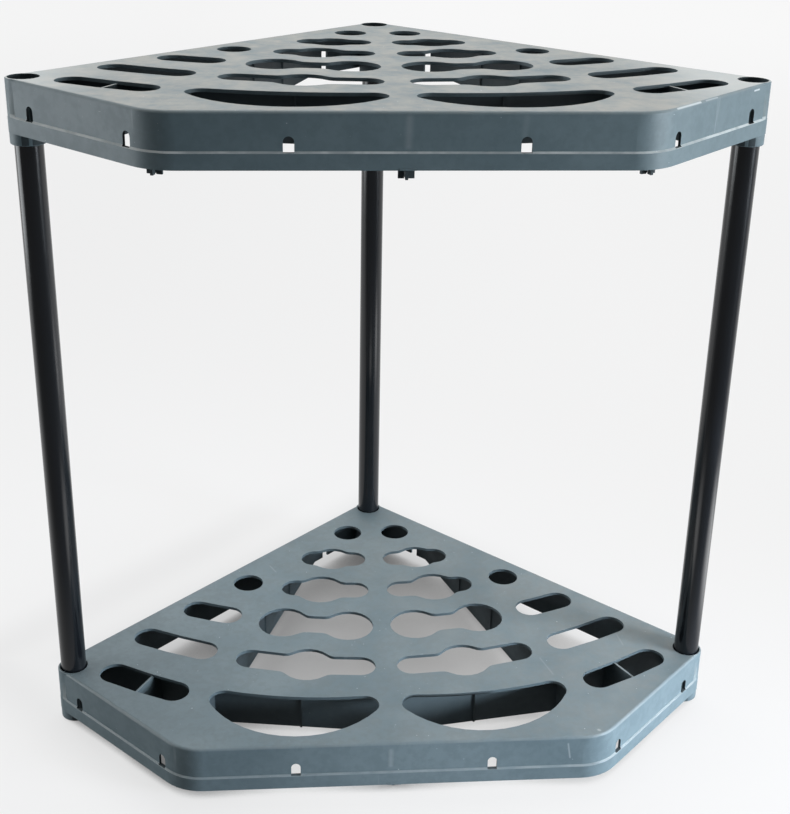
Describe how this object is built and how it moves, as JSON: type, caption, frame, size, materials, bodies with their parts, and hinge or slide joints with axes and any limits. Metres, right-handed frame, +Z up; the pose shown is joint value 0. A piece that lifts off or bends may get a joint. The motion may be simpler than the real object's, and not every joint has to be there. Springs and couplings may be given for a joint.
{
  "type": "corner garden tool rack",
  "caption": "Freestanding corner rack for long-handled garden tools: moulded upper and lower trays with shaped holes, held apart by upright round tubes.",
  "frame": {"origin": "middle of the bounding box, on the floor under the rack", "axes": "+Z up, +Y to the square back corner, -Y to the straight front, +X to the right seen from the front"},
  "size_m": [0.6296, 0.4478, 0.6176],
  "materials": {
    "tray_plastic": "fine matt grey-green moulded plastic",
    "tube_coat": "gloss black paint on steel tube"
  },
  "bodies": {
    "rack": {"lower_tray": "tray_plastic", "upper_tray": "tray_plastic", "left_tube": "tube_coat", "right_tube": "tube_coat", "back_tube": "tube_coat"}
  },
  "joints": []
}
